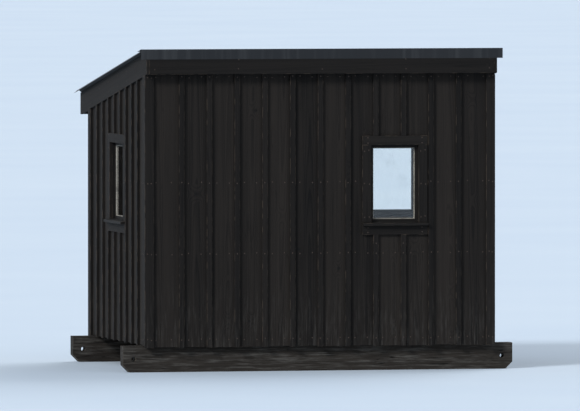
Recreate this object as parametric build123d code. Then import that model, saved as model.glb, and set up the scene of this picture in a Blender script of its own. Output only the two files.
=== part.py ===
from build123d import *
import math
import os

# Ice fishing hut: a shed-roofed cabin of boards and battens on two timber skids.
# +Z is up, and the front, high wall faces -Y. The origin is at ice level under the middle of the roof.

# Overall sizes
cabin_length = 2440.0
cabin_depth = 1830.0
front_wall_height = 1830.0
roof_pitch = 8.5

# Timber sections
stud_thickness = 38.0
stud_depth = 64.0
joist_height = 89.0
rafter_height = 89.0
skid_width = 89.0
skid_height = 184.0
board_thickness = 19.0
batten_width = 38.0
corner_board_width = 64.0
casing_width = 64.0
trim_board_width = 140.0

# Skids and floor
skid_projection = 180.0
skid_set_in = 30.0
skid_nose = 50.0
tow_hole_radius = 16.0
tow_hole_set_in = 75.0
joist_spacing = 400.0
floor_thickness = 18.0
fishing_hole_size = 280.0
fishing_hole_bay = 1.5

# Walls
cladding_drip = 12.0
stud_spacing = 610.0
girt_rows = 2
board_spacing = 199.0

# Roof
front_tail = 75.0
rear_tail = 275.0
rafter_count = 5
roof_deck_thickness = 12.0
sheet_thickness = 0.5
sheet_side_overhang = 40.0
sheet_rear_overhang = 30.0
sheet_count = 3
ribs_per_sheet = 4
rib_height = 19.0
rib_base = 60.0
rib_top = 20.0
swages_per_pan = 2
swage_height = 2.5
swage_base = 26.0
swage_top = 14.0
nesting_gap = 0.3
flashing_top_leg = 120.0
flashing_front_leg = 70.0

# Windows: the clear glass, measured between the sash bars
window_bottom = 1060.0
window_height = 500.0
front_window_from_end = 534.0
front_window_width = 301.0
rear_window_from_end = 116.0
rear_window_width = 400.0
left_window_width = 400.0
sash_width = 20.0
sash_depth = 30.0
jamb_thickness = 19.0
glass_thickness = 4.0
glass_rebate = 8.0
sill_nose = 30.0
sill_thickness = 25.0
sill_fall = 8.0

# Door, in the right end wall
door_width = 660.0
door_casing_gap = 6.0
door_thickness = 22.0
door_gap = 3.0
door_centre_from_front = 615.0
threshold_thickness = 19.0
door_stop_width = 12.0
door_stop_depth = 30.0
seating_gap = 0.3
ledge_width = 120.0
ledge_end_gap = 30.0
brace_width = 90.0
brace_set_in = 40.0
hinge_strap_length = 320.0
hinge_strap_width = 44.0
hinge_tip_width = 20.0
hinge_plate_length = 50.0
hinge_thickness = 4.0
hinge_barrel_radius = 7.0
hinge_pin_radius = 4.0
hinge_knuckles = 3
hinge_knuckle_gap = 1.0
handle_length = 160.0
handle_stand_off = 45.0
handle_rod_radius = 6.0
handle_bend_radius = 18.0
handle_height = 820.0
handle_set_in = 70.0
handle_foot_size = 34.0
handle_foot_thickness = 4.0

# How far a cut runs past the faces of what it cuts
cut_margin = 1.0

# Places that follow from the sizes
slope = math.tan(math.radians(roof_pitch))
slope_cosine = math.cos(math.radians(roof_pitch))
front_eave = front_tail + board_thickness + sheet_thickness
rear_eave = rear_tail + board_thickness + sheet_rear_overhang
roof_depth = cabin_depth + front_eave + rear_eave
frame_left = -cabin_length / 2
frame_right = cabin_length / 2
frame_front = -roof_depth / 2 + front_eave
frame_rear = frame_front + cabin_depth
frame_middle = (frame_front + frame_rear) / 2
clad_left = frame_left - board_thickness
clad_right = frame_right + board_thickness
clad_front = frame_front - board_thickness
clad_rear = frame_rear + board_thickness
trim_left = clad_left - board_thickness
trim_right = clad_right + board_thickness
trim_front = clad_front - board_thickness
trim_rear = clad_rear + board_thickness
rafter_front = frame_front - front_tail
rafter_rear = frame_rear + rear_tail
fascia_front = rafter_front - board_thickness
fascia_rear = rafter_rear + board_thickness
skid_length = cabin_length + 2 * skid_projection
joist_top = skid_height + joist_height
floor_top = joist_top + floor_thickness
drip_edge = skid_height - cladding_drip
over_skids = skid_height + seating_gap
front_plate_top = floor_top + front_wall_height


def rafter_bottom(y):
    """Height of the rafters' lower edge."""
    return front_plate_top - (y - frame_front) * slope


def deck_bottom(y):
    """Height of the roof deck's lower face."""
    return rafter_bottom(y) + rafter_height / slope_cosine


def deck_top(y):
    """Height of the roof deck's upper face."""
    return deck_bottom(y) + roof_deck_thickness / slope_cosine


def rake_bottom(y):
    """Height of the rake boards' lower edge, which the side trim runs up to."""
    return deck_bottom(y) - trim_board_width / slope_cosine


rear_plate_top = rafter_bottom(frame_rear - stud_depth)


def block(x, y, z):
    """Square timber or board between two places along each axis."""
    size = [high - low for low, high in (x, y, z)]
    middle = [(low + high) / 2 for low, high in (x, y, z)]
    return Pos(*middle) * Box(*size)


def across(outline, x):
    """Piece with an outline in Y and Z that runs across the hut from x[0] to x[1]."""
    face = Plane.YZ.offset(x[0]) * Polygon(*outline, align=None)
    return extrude(face, amount=x[1] - x[0], dir=(1, 0, 0))


def lengthways(outline, y):
    """Piece with an outline in X and Z that runs from y[0] to y[1]."""
    face = Plane.XZ.offset(-y[0]) * Polygon(*outline, align=None)
    return extrude(face, amount=y[1] - y[0], dir=(0, 1, 0))


def sloped(y, low, high, x):
    """Piece that follows the roof's slope between two height functions, with plumb ends."""
    outline = [(y[0], low(y[0])), (y[1], low(y[1])), (y[1], high(y[1])), (y[0], high(y[0]))]
    return across(outline, x)


def spaced(first, last, spacing):
    """Evenly spaced places from first to last, at about the given spacing."""
    steps = max(1, round((last - first) / spacing))
    return [first + (last - first) * i / steps for i in range(steps + 1)]


def save(name, *solids):
    """Writes one node, which holds one or more separate solids."""
    shape = solids[0] if len(solids) == 1 else Compound(children=list(solids))
    export_step(shape, f"parts/{name}.step")


# Openings in the walls
class Opening:
    """A window or door: its clear size, and the rough opening in the wall's frame."""

    def __init__(self, low, high, bottom, top, lining, sill):
        self.low, self.high, self.bottom, self.top = low, high, bottom, top
        self.rough_low = low - lining
        self.rough_high = high + lining
        self.rough_bottom = bottom - sill
        self.rough_top = top + lining


def window(low, width):
    """A window at the height that all of them share."""
    return Opening(
        low,
        low + width,
        window_bottom,
        window_bottom + window_height,
        sash_width + jamb_thickness,
        sash_width + sill_thickness,
    )


windows = {
    "front": window(frame_right - front_window_from_end - front_window_width, front_window_width),
    "rear": window(frame_right - rear_window_from_end - rear_window_width, rear_window_width),
    "left": window(frame_middle - left_window_width / 2, left_window_width),
}


def make_door_opening():
    """The door's opening, as high as its head casing fits under the rake board."""
    middle = frame_front + door_centre_from_front
    high = middle + door_width / 2
    head_casing_top = rake_bottom(high + door_gap + casing_width) - door_casing_gap
    return Opening(
        middle - door_width / 2,
        high,
        floor_top + threshold_thickness + door_gap,
        head_casing_top - casing_width - door_gap,
        jamb_thickness + door_gap,
        threshold_thickness + door_gap,
    )


door = make_door_opening()


class Wall:
    """Turns a wall's own places, along it, outward and up, into the hut's X, Y and Z."""

    def __init__(self, name, along, frame_face, outward, cladding_bottom):
        self.name = name
        self.along = along
        self.frame_face = frame_face
        self.outward = outward
        self.cladding_bottom = cladding_bottom

    def piece(self, along, out, z):
        """Block at a range along the wall, a range outward of the frame's outer face, and a height range."""
        face = [self.frame_face + self.outward * distance for distance in out]
        face = (min(face), max(face))
        if self.along == "x":
            return block(along, face, z)
        return block(face, along, z)

    def moulding(self, along, outline):
        """Piece along the wall, from an outline of distances outward of the frame's face and heights."""
        points = [(self.frame_face + self.outward * out, z) for out, z in outline]
        return across(points, along) if self.along == "x" else lengthways(points, along)


front = Wall("front", "x", frame_front, -1, drip_edge)
rear = Wall("rear", "x", frame_rear, 1, drip_edge)
left = Wall("left", "y", frame_left, -1, over_skids)
right = Wall("right", "y", frame_right, 1, over_skids)
frame_band = (-stud_depth, 0)
cladding_band = (0, board_thickness)
trim_band = (board_thickness, 2 * board_thickness)


# Skids and floor
def skid(y):
    """Timber runner with both lower ends cut back so that it rides up over snow."""
    end = skid_length / 2
    outline = [
        (-end + skid_nose, 0),
        (end - skid_nose, 0),
        (end, skid_nose),
        (end, skid_height),
        (-end, skid_height),
        (-end, skid_nose),
    ]
    runner = lengthways(outline, y)
    for side in (-1, 1):
        place = (side * (end - tow_hole_set_in), (y[0] + y[1]) / 2, skid_height / 2)
        runner -= Pos(*place) * Rot(90, 0, 0) * Cylinder(tow_hole_radius, 2 * (y[1] - y[0]))
    return runner


def make_skids():
    front_edge = frame_front + skid_set_in
    rear_edge = frame_rear - skid_set_in
    save("front_skid", skid((front_edge, front_edge + skid_width)))
    save("rear_skid", skid((rear_edge - skid_width, rear_edge)))


def make_floor():
    height = (skid_height, joist_top)
    length = (frame_left, frame_right)
    rims = [
        block(length, (frame_front, frame_front + stud_thickness), height),
        block(length, (frame_rear - stud_thickness, frame_rear), height),
    ]
    save("floor_rims", *rims)
    half = stud_thickness / 2
    joist_run = (frame_front + stud_thickness, frame_rear - stud_thickness)
    places = spaced(frame_left + half, frame_right - half, joist_spacing)
    save("floor_joists", *[block((x - half, x + half), joist_run, height) for x in places])
    deck = block(length, (frame_front, frame_rear), (joist_top, floor_top))
    bay = places[1] - places[0]
    reach = fishing_hole_size / 2
    for side in (-1, 1):
        x = side * fishing_hole_bay * bay
        hole = block(
            (x - reach, x + reach),
            (frame_middle - reach, frame_middle + reach),
            (joist_top - cut_margin, floor_top + cut_margin),
        )
        deck -= hole
    save("floor_deck", deck)


# Wall frames
def stud_places(low, high, openings):
    """Middles of the studs: the two ends, one each side of every opening, and the rest spaced between."""
    half = stud_thickness / 2
    fixed = [low + half, high - half]
    for opening in openings:
        fixed += [opening.rough_low - half, opening.rough_high + half]
    places = sorted(fixed)
    spans = list(zip(places, places[1:]))
    for start, end in spans:
        inside_opening = any(o.rough_low < (start + end) / 2 < o.rough_high for o in openings)
        if not inside_opening:
            places += spaced(start, end, stud_spacing)[1:-1]
    return sorted(places)


def straight_frame(wall, plate_top):
    """Plates and studs of the front or rear wall, which both have a level top."""
    opening = windows[wall.name]
    ends = (frame_left, frame_right)
    half = stud_thickness / 2
    low_plate = (floor_top, floor_top + stud_thickness)
    top_plate = (plate_top - stud_thickness, plate_top)
    save(
        f"{wall.name}_wall_plates",
        wall.piece(ends, frame_band, low_plate),
        wall.piece(ends, frame_band, top_plate),
    )
    height = (low_plate[1], top_plate[0])
    studs = [
        wall.piece((x - half, x + half), frame_band, height)
        for x in stud_places(*ends, [opening])
    ]
    middle = (opening.rough_low + opening.rough_high) / 2
    cripple = (middle - half, middle + half)
    below = (low_plate[1], opening.rough_bottom - stud_thickness)
    above = (opening.rough_top + stud_thickness, top_plate[0])
    studs += [wall.piece(cripple, frame_band, below), wall.piece(cripple, frame_band, above)]
    save(f"{wall.name}_wall_studs", *studs)


def sloped_frame(wall, opening, has_sill):
    """Plates and studs of an end wall, whose top follows the rafters."""
    ends = (frame_front + stud_depth, frame_rear - stud_depth)
    face = sorted((wall.frame_face, wall.frame_face - wall.outward * stud_depth))
    half = stud_thickness / 2

    def plate_bottom(y):
        return rafter_bottom(y) - stud_thickness / slope_cosine

    low_plate_top = floor_top + stud_thickness
    runs = [ends] if has_sill else [(ends[0], opening.rough_low), (opening.rough_high, ends[1])]
    plates = [block(face, run, (floor_top, low_plate_top)) for run in runs]
    plates.append(sloped(ends, plate_bottom, rafter_bottom, face))
    save(f"{wall.name}_wall_plates", *plates)

    def upright(y, bottom, top=None):
        high = plate_bottom if top is None else lambda _: top
        return sloped((y - half, y + half), lambda _: bottom, high, face)

    studs = [upright(y, low_plate_top) for y in stud_places(*ends, [opening])]
    middle = (opening.rough_low + opening.rough_high) / 2
    studs.append(upright(middle, opening.rough_top + stud_thickness))
    if has_sill:
        studs.append(upright(middle, low_plate_top, opening.rough_bottom - stud_thickness))
    save(f"{wall.name}_wall_studs", *studs)


def make_wall_frames():
    straight_frame(front, front_plate_top)
    straight_frame(rear, rear_plate_top)
    sloped_frame(left, windows["left"], True)
    sloped_frame(right, door, False)
    headers = []
    for wall, opening in wall_openings():
        span = (opening.rough_low, opening.rough_high)
        top = (opening.rough_top, opening.rough_top + stud_thickness)
        headers.append(wall.piece(span, frame_band, top))
        if opening is not door:
            sill = (opening.rough_bottom - stud_thickness, opening.rough_bottom)
            headers.append(wall.piece(span, frame_band, sill))
    save("headers_and_rough_sills", *headers)


def make_girts():
    """Short level pieces between the studs, to which the upright boards are nailed."""
    half = stud_thickness / 2
    low = floor_top + stud_thickness
    rise = (rear_plate_top - stud_thickness - low) / (girt_rows + 1)
    heights = [low + rise * (row + 1) for row in range(girt_rows)]
    girts = []
    for wall, opening in wall_openings():
        if wall.along == "x":
            ends = (frame_left, frame_right)
        else:
            ends = (frame_front + stud_depth, frame_rear - stud_depth)
        places = stud_places(*ends, [opening])
        for near, far in zip(places, places[1:]):
            clear = (near + half, far - half)
            is_opening = opening.rough_low < (near + far) / 2 < opening.rough_high
            if is_opening or clear[1] - clear[0] < stud_thickness:
                continue
            for height in heights:
                girts.append(wall.piece(clear, frame_band, (height - half, height + half)))
    save("wall_girts", *girts)


def wall_openings():
    return [
        (front, windows["front"]),
        (rear, windows["rear"]),
        (left, windows["left"]),
        (right, door),
    ]


# Cladding, battens and corner boards
def wall_hole(wall, opening):
    """Cut for a window or door through the cladding."""
    return wall.piece(
        (opening.rough_low, opening.rough_high),
        (-cut_margin, board_thickness + cut_margin),
        (opening.rough_bottom, opening.rough_top),
    )


def make_cladding():
    across_front = (clad_left, clad_right)
    front_height = (front.cladding_bottom, front_plate_top)
    rear_height = (rear.cladding_bottom, rafter_bottom(clad_rear))
    save(
        "front_wall",
        front.piece(across_front, cladding_band, front_height) - wall_hole(front, windows["front"]),
    )
    save(
        "rear_wall",
        rear.piece(across_front, cladding_band, rear_height) - wall_hole(rear, windows["rear"]),
    )
    for wall, opening in ((left, windows["left"]), (right, door)):
        face = sorted((wall.frame_face, wall.frame_face + wall.outward * board_thickness))
        sheet = sloped((frame_front, frame_rear), lambda _: over_skids, deck_bottom, face)
        save(f"{wall.name}_wall", sheet - wall_hole(wall, opening))


def casing_reach(opening):
    """Outer edges of the trim round an opening: low, high, bottom and top."""
    return (
        opening.rough_low + jamb_thickness - casing_width,
        opening.rough_high - jamb_thickness + casing_width,
        over_skids if opening is door else opening.rough_bottom - casing_width,
        opening.rough_top - jamb_thickness + casing_width,
    )


def battens_on(wall, opening, low, high, top):
    """Battens over the joints between the boards, cut away where the trim of an opening is."""
    keep_low, keep_high, keep_bottom, keep_top = casing_reach(opening)
    past = (trim_band[0] - cut_margin, trim_band[1] + cut_margin)
    if opening is door:
        keep_bottom -= cut_margin
    trim_room = wall.piece((keep_low, keep_high), past, (keep_bottom, keep_top))
    half = batten_width / 2
    face = sorted(wall.frame_face + wall.outward * out for out in trim_band)
    made = []
    for place in spaced(low, high, board_spacing)[1:-1]:
        along = (place - half, place + half)
        if wall.along == "x":
            batten = wall.piece(along, trim_band, (wall.cladding_bottom, top))
        else:
            batten = sloped(along, lambda _: wall.cladding_bottom, top, face)
        made += (batten - trim_room).solids()
    return made


def make_battens():
    low, high = trim_left + corner_board_width, trim_right - corner_board_width
    side_low, side_high = clad_front + corner_board_width, clad_rear - corner_board_width
    battens = battens_on(front, windows["front"], low, high, front_plate_top)
    battens += battens_on(rear, windows["rear"], low, high, rafter_bottom(trim_rear))
    battens += battens_on(left, windows["left"], side_low, side_high, rake_bottom)
    battens += battens_on(right, door, side_low, side_high, rake_bottom)
    save("battens", *battens)


def make_corner_boards():
    left_end = (trim_left, trim_left + corner_board_width)
    right_end = (trim_right - corner_board_width, trim_right)
    boards = []
    for wall, low_edge, top in (
        (front, clad_front, front_plate_top),
        (rear, trim_rear, rafter_bottom(trim_rear)),
    ):
        under_rake = (rake_bottom(low_edge), top)
        for ends, lap in ((left_end, (trim_left, clad_left)), (right_end, (clad_right, trim_right))):
            board = wall.piece(ends, trim_band, (wall.cladding_bottom, top))
            boards.append(board - wall.piece(lap, trim_band, under_rake))
    save("front_and_rear_corner_boards", *boards)
    sides = []
    for face in ((trim_left, clad_left), (clad_right, trim_right)):
        for run in (
            (clad_front, clad_front + corner_board_width),
            (clad_rear - corner_board_width, clad_rear),
        ):
            sides.append(sloped(run, lambda _: over_skids, rake_bottom, face))
    save("side_corner_boards", *sides)


# Roof
def rafter(x):
    """Rafter with a level seat cut over each wall plate and plumb ends."""
    blank = sloped((rafter_front, rafter_rear), rafter_bottom, deck_bottom, x)
    seats = [
        (frame_front, frame_front + stud_depth, front_plate_top),
        (frame_rear - stud_depth, frame_rear, rear_plate_top),
    ]
    for near, far, height in seats:
        blank -= block((x[0] - cut_margin, x[1] + cut_margin), (near, far), (height - rafter_height, height))
    return blank


def make_rafters():
    half = stud_thickness / 2
    places = [
        frame_left + half + (cabin_length - stud_thickness) * i / (rafter_count - 1)
        for i in range(rafter_count)
    ]
    save("rafters", *[rafter((x - half, x + half)) for x in places])
    blocks = []
    for near, far in zip(places, places[1:]):
        gap = (near + half, far - half)
        for start, height in ((frame_front, front_plate_top), (frame_rear - stud_thickness, rear_plate_top)):
            run = (start, start + stud_thickness)
            blocks.append(sloped(run, lambda _, level=height: level, deck_bottom, gap))
    save("rafter_blocks", *blocks)


def make_roof_deck():
    save("roof_deck", sloped((fascia_front, fascia_rear), deck_bottom, deck_top, (trim_left, trim_right)))


def flank(z, inset, height=rib_height, base=rib_base, top=rib_top):
    """Half width, at a height, of a rib's surface or of one set in from it by the given distance."""
    lean = math.atan2(height, (base - top) / 2)
    return base / 2 - (z - sheet_thickness) / math.tan(lean) - inset / math.sin(lean)


def rib_line(middle, inset, height, base, top):
    """The four corners of a line over a rib, set in from the sheet's upper surface."""
    foot_level = sheet_thickness if inset == 0 else 0
    crown = height + sheet_thickness - inset
    foot = flank(foot_level, inset, height, base, top)
    shoulder = flank(crown, inset, height, base, top)
    return [
        (middle - foot, foot_level),
        (middle - shoulder, crown),
        (middle + shoulder, crown),
        (middle + foot, foot_level),
    ]


def lapped_edge(middle, inset, low):
    """The left half of a line over the rib that laps the sheet before, from a low height to its crown."""
    crown = rib_height + sheet_thickness - inset
    return [(middle - flank(low, inset), low), (middle - flank(crown, inset), crown)]


def covered_edge(middle, inset, foot_level, low):
    """A line over the rib that the next sheet covers, which stops part of the way down its far side."""
    crown = rib_height + sheet_thickness - inset
    return [
        (middle - flank(foot_level, inset), foot_level),
        (middle - flank(crown, inset), crown),
        (middle + flank(crown, inset), crown),
        (middle + flank(low, inset), low),
    ]


def sheet_outline(ribs, laps, covered):
    """Cross-section of one ribbed sheet: its upper line from first rib to last, and its lower line back.

    A sheet that laps the one before starts above it. A covered sheet ends in a rib nested in the next one's.
    """
    lines = []
    for inset in (0, sheet_thickness):
        foot_level = sheet_thickness - inset
        if laps:
            first = rib_line(ribs[0], inset, rib_height, rib_base, rib_top)
            line = lapped_edge(ribs[0], inset, sheet_thickness + nesting_gap) + first[2:]
        else:
            line = rib_line(ribs[0], inset, rib_height, rib_base, rib_top)
        for near, far in zip(ribs, ribs[1:]):
            for swage in spaced(near, far, (far - near) / (swages_per_pan + 1))[1:-1]:
                line += rib_line(swage, inset, swage_height, swage_base, swage_top)
            if far != ribs[-1] or not covered:
                line += rib_line(far, inset, rib_height, rib_base, rib_top)
        if covered:
            nested = inset + sheet_thickness + nesting_gap
            line += covered_edge(ribs[-1], nested, foot_level, rib_height / 2)
        lines.append(line)
    return lines[0] + lines[1][::-1]


def make_roof_sheets():
    half_width = trim_right + sheet_side_overhang
    rib_count = sheet_count * ribs_per_sheet + 1
    pitch = (2 * half_width - rib_base) / (rib_count - 1)
    ribs = [-half_width + rib_base / 2 + pitch * i for i in range(rib_count)]
    downhill = (0, slope_cosine, -slope * slope_cosine)
    run = (fascia_rear + sheet_rear_overhang - fascia_front) / slope_cosine
    upper_end = Plane.XZ.offset(-fascia_front)
    lift = deck_top(fascia_front)
    sheets = []
    for i in range(sheet_count):
        own = ribs[i * ribs_per_sheet : (i + 1) * ribs_per_sheet + 1]
        section = sheet_outline(own, laps=i > 0, covered=i < sheet_count - 1)
        outline = [(x, lift + z / slope_cosine) for x, z in section]
        face = upper_end * Polygon(*outline, align=None)
        sheets.append(extrude(face, amount=run, dir=downhill))
    save("roof_sheets", *sheets)


def make_roof_flashing():
    """Bent strip that covers the sheets' upper ends and turns down over the front fascia."""
    half_width = trim_right + sheet_side_overhang
    seat = (rib_height + sheet_thickness) / slope_cosine
    front_face = fascia_front - sheet_thickness
    leg_end = fascia_front + flashing_top_leg * slope_cosine
    skin = sheet_thickness / slope_cosine

    def lie(y):
        return deck_top(y) + seat

    outline = [
        (fascia_front, lie(fascia_front)),
        (leg_end, lie(leg_end)),
        (leg_end, lie(leg_end) + skin),
        (front_face, lie(front_face) + skin),
        (front_face, lie(front_face) - flashing_front_leg),
        (fascia_front, lie(front_face) - flashing_front_leg),
    ]
    save("roof_flashing", across(outline, (-half_width, half_width)))


def make_fascias():
    between = (clad_left, clad_right)
    front_top = deck_bottom(rafter_front)
    rear_top = deck_bottom(fascia_rear)
    save(
        "fascia_boards",
        block(between, (fascia_front, rafter_front), (front_top - trim_board_width, front_top)),
        block(between, (rafter_rear, fascia_rear), (rear_top - trim_board_width, rear_top)),
    )
    run = (fascia_front, fascia_rear)
    save(
        "rake_boards",
        sloped(run, rake_bottom, deck_bottom, (trim_left, clad_left)),
        sloped(run, rake_bottom, deck_bottom, (clad_right, trim_right)),
    )


# Windows and their trim
def sill_surface(opening, out):
    """Height of a window sill's upper side, which falls outward from the sash to its nose."""
    nose = trim_band[1] + sill_nose
    return opening.rough_bottom + sill_thickness - sill_fall * max(0, out) / nose


def window_sill(wall, opening, inner):
    """Sill between the jambs, with a wider nose on which the side casings stand."""
    bottom = opening.rough_bottom
    low, high, _, _ = casing_reach(opening)
    face, nose = board_thickness, trim_band[1] + sill_nose
    in_frame = [
        (-stud_depth, bottom),
        (face, bottom),
        (face, sill_surface(opening, face)),
        (0, sill_surface(opening, 0)),
        (-stud_depth, sill_surface(opening, 0)),
    ]
    outside = [
        (face, bottom),
        (nose, bottom),
        (nose, sill_surface(opening, nose)),
        (face, sill_surface(opening, face)),
    ]
    return wall.moulding(inner, in_frame) + wall.moulding((low, high), outside)


def make_windows():
    lining_band = (-stud_depth, board_thickness)
    sash_band = (-sash_depth, 0)
    pane_middle = (sash_band[0] + sash_band[1]) / 2
    pane_band = (pane_middle - glass_thickness / 2, pane_middle + glass_thickness / 2)
    jambs, heads, sills = [], [], []
    for name, wall in (("front", front), ("rear", rear), ("left", left)):
        w = windows[name]
        height = (w.rough_bottom, w.rough_top)
        inner = (w.rough_low + jamb_thickness, w.rough_high - jamb_thickness)
        jambs.append(wall.piece((w.rough_low, inner[0]), lining_band, height))
        jambs.append(wall.piece((inner[1], w.rough_high), lining_band, height))
        heads.append(wall.piece(inner, lining_band, (w.rough_top - jamb_thickness, w.rough_top)))
        sills.append(window_sill(wall, w, inner))
        sill_top = w.rough_bottom + sill_thickness
        ring = wall.piece(inner, sash_band, (sill_top, w.rough_top - jamb_thickness))
        daylight = (sash_band[0] - cut_margin, sash_band[1] + cut_margin)
        ring -= wall.piece((w.low, w.high), daylight, (w.bottom, w.top))
        seat = wall.piece(
            (w.low - glass_rebate, w.high + glass_rebate),
            pane_band,
            (w.bottom - glass_rebate, w.top + glass_rebate),
        )
        save(f"{name}_window_sash", ring - seat)
        save(f"{name}_window_glass", seat)
    save("window_jambs", *jambs)
    save("window_heads", *heads)
    save("window_sills", *sills)


def make_casings():
    sides, heads = [], []
    near, far = trim_band
    for wall, opening in wall_openings():
        low, high, bottom, top = casing_reach(opening)
        head_bottom = opening.rough_top - jamb_thickness
        feet = (bottom, bottom)
        if opening is not door:
            feet = (sill_surface(opening, near), sill_surface(opening, far))
        side = [(near, feet[0]), (far, feet[1]), (far, head_bottom), (near, head_bottom)]
        sides.append(wall.moulding((low, opening.rough_low + jamb_thickness), side))
        sides.append(wall.moulding((opening.rough_high - jamb_thickness, high), side))
        heads.append(wall.piece((low, high), trim_band, (head_bottom, top)))
        if opening is not door:
            heads.append(wall.piece((low, high), trim_band, (bottom, opening.rough_bottom)))
    save("side_casings", *sides)
    save("head_casings_and_aprons", *heads)


# Door
def make_door_frame():
    """Jambs and head with a rebate that the door closes against, and a plain threshold."""
    lining_band = (-stud_depth, board_thickness)
    inner = (door.rough_low + jamb_thickness, door.rough_high - jamb_thickness)
    height = (floor_top, door.rough_top)
    back = 2 * board_thickness - door_thickness - seating_gap
    stop_band = (back - door_stop_depth, back)
    stop_bottom = floor_top + threshold_thickness
    head_bottom = door.rough_top - jamb_thickness
    near = right.piece((door.rough_low, inner[0]), lining_band, height)
    near += right.piece((inner[0], inner[0] + door_stop_width), stop_band, (stop_bottom, head_bottom))
    far = right.piece((inner[1], door.rough_high), lining_band, height)
    far += right.piece((inner[1] - door_stop_width, inner[1]), stop_band, (stop_bottom, head_bottom))
    save("door_jambs", near, far)
    between_stops = (inner[0] + door_stop_width, inner[1] - door_stop_width)
    head = right.piece(inner, lining_band, (head_bottom, door.rough_top))
    head += right.piece(between_stops, stop_band, (head_bottom - door_stop_width, head_bottom))
    threshold = right.piece(inner, lining_band, (floor_top, stop_bottom))
    save("door_head_and_threshold", head, threshold)


def hinge(height):
    """Strap hinge, riveted as one: tapered strap on the door, barrel at the gap and plate on the casing."""
    face = trim_right
    pin = door.high + door_gap / 2
    half, tip = hinge_strap_width / 2, hinge_tip_width / 2
    strap_end = pin - hinge_strap_length
    outline = [
        (pin, height - half),
        (pin, height + half),
        (strap_end + tip, height + tip),
        (strap_end, height),
        (strap_end + tip, height - tip),
    ]
    strap = across(outline, (face, face + hinge_thickness))
    plate = block(
        (face, face + hinge_thickness),
        (pin, pin + hinge_plate_length),
        (height - half, height + half),
    )
    pin_place = Pos(face + hinge_barrel_radius, pin, height)
    barrel = pin_place * Cylinder(hinge_pin_radius, hinge_strap_width)
    share = hinge_strap_width / hinge_knuckles
    for i in range(hinge_knuckles):
        lift = share * (i + 0.5) - half
        barrel += pin_place * Pos(0, 0, lift) * Cylinder(hinge_barrel_radius, share - hinge_knuckle_gap)
    return strap + plate + barrel


def pull_handle():
    """Bent rod handle on two foot plates."""
    y = door.low + handle_set_in
    low = floor_top + handle_height
    high = low + handle_length
    out = trim_right + handle_stand_off
    path = FilletPolyline(
        (trim_right, y, low),
        (out, y, low),
        (out, y, high),
        (trim_right, y, high),
        radius=handle_bend_radius,
    )
    section = Plane(origin=(trim_right, y, low), z_dir=(1, 0, 0)) * Circle(handle_rod_radius)
    handle = sweep(section, path=path)
    half = handle_foot_size / 2
    for foot in (low, high):
        handle += block(
            (trim_right, trim_right + handle_foot_thickness),
            (y - half, y + half),
            (foot - half, foot + half),
        )
    return handle


def door_brace(backs, run, low, high):
    """Diagonal brace between two ledges, rising away from the hinges, with level ends."""
    start, end = run[1] - brace_set_in, run[0] + brace_set_in
    outline = [
        (start, low + seating_gap),
        (start - brace_width, low + seating_gap),
        (end, high - seating_gap),
        (end + brace_width, high - seating_gap),
    ]
    return across(outline, backs)


def make_door():
    leaf = (trim_right - door_thickness, trim_right)
    save("door_leaf", block(leaf, (door.low, door.high), (door.bottom, door.top)))
    backs = (leaf[0] - board_thickness, leaf[0])
    run = (door.low + ledge_end_gap, door.high - ledge_end_gap)
    half = ledge_width / 2
    middles = [door.bottom + ledge_width, (door.bottom + door.top) / 2, door.top - ledge_width]
    backing = [block(backs, run, (z - half, z + half)) for z in middles]
    backing += [door_brace(backs, run, a + half, b - half) for a, b in zip(middles, middles[1:])]
    save("door_ledges", *backing)
    save("door_hinges", *[hinge(z) for z in (middles[0], middles[2])])
    save("door_handle", pull_handle())


os.makedirs("parts", exist_ok=True)
make_skids()
make_floor()
make_wall_frames()
make_girts()
make_cladding()
make_battens()
make_corner_boards()
make_rafters()
make_roof_deck()
make_roof_sheets()
make_roof_flashing()
make_fascias()
make_windows()
make_casings()
make_door_frame()
make_door()
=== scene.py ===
# %% [markdown]
# # An ice fishing hut of boards, battens and ribbed steel
# The hut is a small cabin with a shed roof, standing on two timber skids. Its solids come finished from the
# CAD model, in metres and in place. This lesson gives them their looks: boards sawn apart, edges eased,
# grain that follows each piece of timber, nails, painted steel and glass.

import math
import random

import bpy
from mathutils import Matrix, Vector


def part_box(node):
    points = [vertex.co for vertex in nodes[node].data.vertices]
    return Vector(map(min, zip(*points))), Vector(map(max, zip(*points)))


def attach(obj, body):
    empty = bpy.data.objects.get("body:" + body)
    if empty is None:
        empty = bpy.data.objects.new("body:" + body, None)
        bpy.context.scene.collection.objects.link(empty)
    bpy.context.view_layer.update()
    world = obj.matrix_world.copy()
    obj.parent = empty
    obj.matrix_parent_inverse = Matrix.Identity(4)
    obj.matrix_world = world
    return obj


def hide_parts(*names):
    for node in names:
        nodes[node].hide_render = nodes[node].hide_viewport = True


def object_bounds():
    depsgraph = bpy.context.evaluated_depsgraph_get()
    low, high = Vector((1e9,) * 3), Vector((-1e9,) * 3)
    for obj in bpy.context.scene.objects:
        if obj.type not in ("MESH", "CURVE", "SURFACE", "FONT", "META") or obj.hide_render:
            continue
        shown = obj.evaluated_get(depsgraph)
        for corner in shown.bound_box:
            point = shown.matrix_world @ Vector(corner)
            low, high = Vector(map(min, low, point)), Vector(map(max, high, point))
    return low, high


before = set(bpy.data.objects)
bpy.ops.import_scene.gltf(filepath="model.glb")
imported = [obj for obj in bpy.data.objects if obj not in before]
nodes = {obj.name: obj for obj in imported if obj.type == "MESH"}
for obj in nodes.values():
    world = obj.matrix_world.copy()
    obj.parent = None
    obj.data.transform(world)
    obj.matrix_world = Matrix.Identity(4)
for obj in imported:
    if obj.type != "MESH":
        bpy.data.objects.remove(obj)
cad_low, cad_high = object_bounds()
print("CAD pieces:", len(nodes), "size:", [round(s, 3) for s in cad_high - cad_low])

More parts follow.
